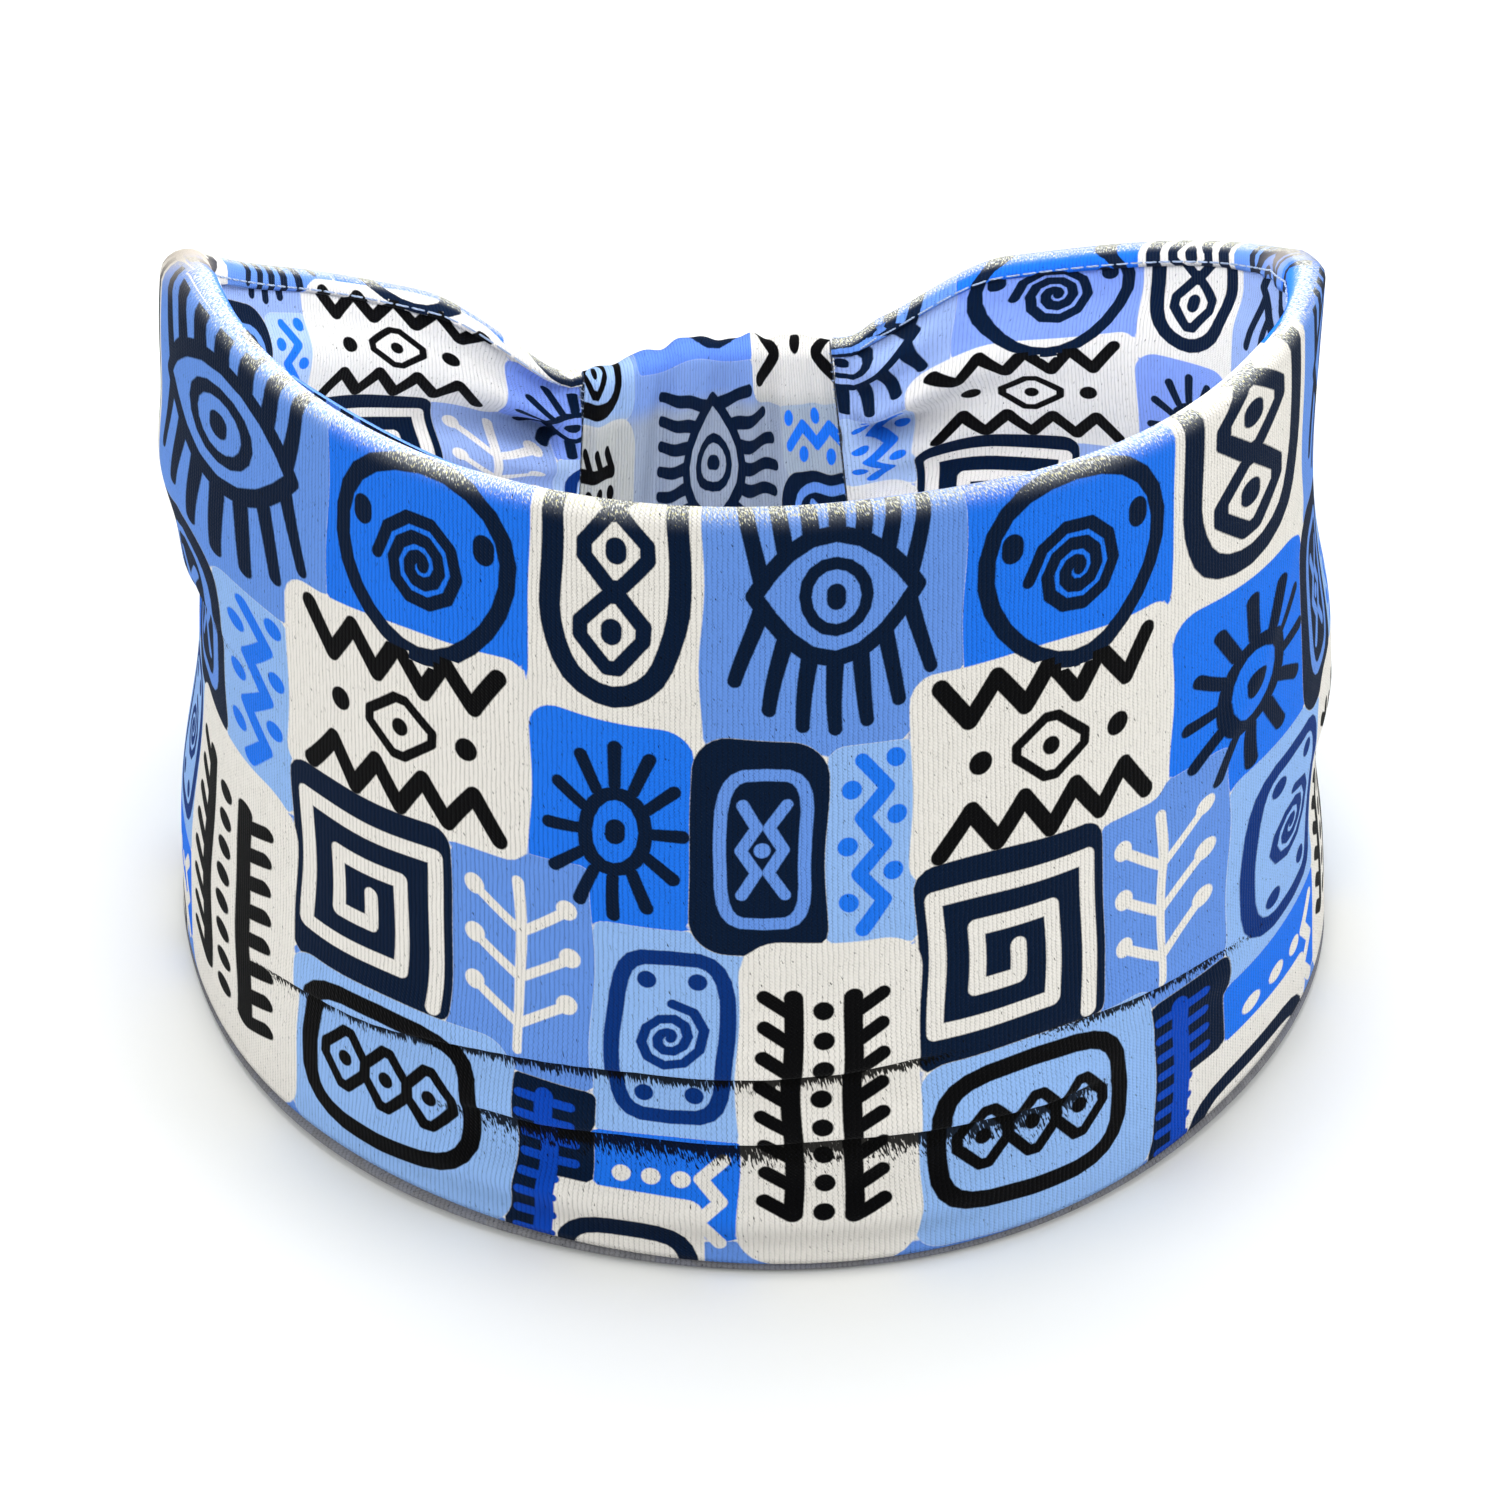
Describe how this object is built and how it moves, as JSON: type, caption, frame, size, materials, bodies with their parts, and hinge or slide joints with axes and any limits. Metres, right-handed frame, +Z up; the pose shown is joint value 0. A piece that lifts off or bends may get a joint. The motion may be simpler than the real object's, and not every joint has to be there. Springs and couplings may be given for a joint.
{
  "type": "wide stretch headband",
  "caption": "Wide stretch-knit headband, tall double-layer printed front with a rolled top edge, gathered at the back into a short elastic casing.",
  "frame": {"origin": "centre of the footprint, on the surface that the band stands on", "axes": "+Z up from the standing edge, -Y towards the tall printed front, +Y towards the gathered back casing, +X to the right seen from the front"},
  "size_m": [0.17, 0.1598, 0.112],
  "materials": {
    "outer_knit": "fine stretch jersey, blue and cream geometric print",
    "lining_knit": "fine stretch jersey, blue and cream geometric print",
    "casing_knit": "fine stretch jersey, gathered over elastic",
    "seam_thread": "spun polyester thread",
    "elastic": "ribbed knitted elastic"
  },
  "bodies": {
    "front": {"outer_panel": "outer_knit", "lining_panel": "lining_knit", "top_edge_seam": "seam_thread", "bottom_edge_seam": "seam_thread", "left_gather_thread": "seam_thread", "right_gather_thread": "seam_thread"},
    "back": {"back_casing": "casing_knit", "back_casing_seam": "seam_thread", "elastic_band": "elastic", "left_joining_seam": "seam_thread", "right_joining_seam": "seam_thread", "left_elastic_tack": "seam_thread", "right_elastic_tack": "seam_thread"}
  },
  "joints": [
    {"name": "casing_stretch", "type": "slide", "parent": "front", "child": "back", "axis": [0, 1, 0], "range_m": [0, 0.03], "stiffness_N_per_m": 120}
  ]
}
